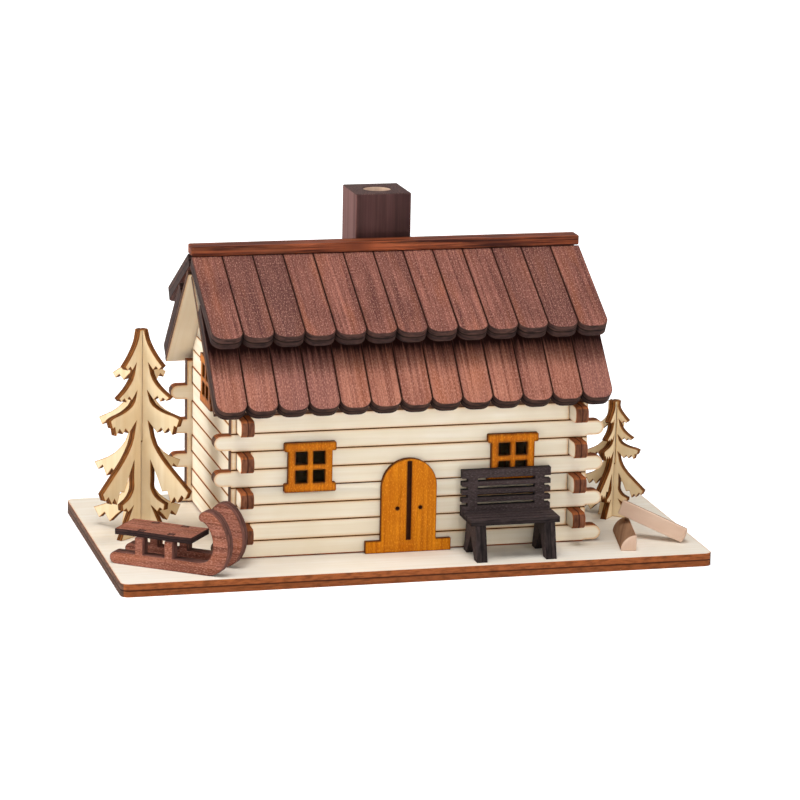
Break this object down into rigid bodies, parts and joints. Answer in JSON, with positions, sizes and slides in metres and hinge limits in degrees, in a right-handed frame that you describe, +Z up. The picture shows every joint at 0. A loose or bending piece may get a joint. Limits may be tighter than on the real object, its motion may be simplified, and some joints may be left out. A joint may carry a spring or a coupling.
{
  "type": "incense smoker house",
  "caption": "Plywood log-house incense smoker: the house with scalloped shingle roof and bored chimney lifts off a base that carries trees, a sled, a bench and firewood.",
  "frame": {"origin": "middle of the base plate's underside", "axes": "+X to the right along the ridge, +Y to the back, +Z up; the door faces -Y"},
  "size_m": [0.1816, 0.0982, 0.1065],
  "materials": {
    "pale_ply": "bare laser-cut plywood with burnt edges",
    "tree_ply": "bare thin plywood with burnt edges",
    "shingle_stain": "red-brown stain, matt",
    "ridge_stain": "red-brown stain, semi-gloss",
    "chimney_stain": "dark brown stain, matt",
    "orange_stain": "orange stain, satin",
    "sled_stain": "red-brown stain, matt",
    "charcoal_stain": "charcoal stain, matt",
    "split_wood": "bare split wood",
    "burner_metal": "brushed"
  },
  "bodies": {
    "base": {"base_plate": "pale_ply", "burner_plate": "burner_metal", "locating_strip_front": "pale_ply", "locating_strip_back": "pale_ply", "left_tree_plate_a": "tree_ply", "left_tree_plate_b": "tree_ply", "right_tree_plate_a": "tree_ply", "right_tree_plate_b": "tree_ply", "sled_runner_near": "sled_stain", "sled_runner_far": "sled_stain", "sled_seat": "sled_stain", "bench_back": "charcoal_stain", "bench_seat": "charcoal_stain", "bench_leg_left": "charcoal_stain", "bench_leg_right": "charcoal_stain", "firewood_lower": "split_wood", "firewood_upper": "split_wood"},
    "house": {"front_wall": "pale_ply", "back_wall": "pale_ply", "left_gable": "pale_ply", "right_gable": "pale_ply", "door": "orange_stain", "window_front_left": "orange_stain", "window_front_right": "orange_stain", "window_left_gable": "orange_stain", "window_right_gable": "orange_stain", "roof_panel_front": "pale_ply", "roof_panel_back": "pale_ply", "lower_shingles_front": "shingle_stain", "lower_shingles_back": "shingle_stain", "upper_shingles_front": "shingle_stain", "upper_shingles_back": "shingle_stain", "ridge_strip": "ridge_stain", "chimney": "chimney_stain"}
  },
  "joints": [
    {"name": "house_lift", "type": "slide", "parent": "base", "child": "house", "axis": [0, 0, 1], "range_m": [0, 0.075]}
  ]
}
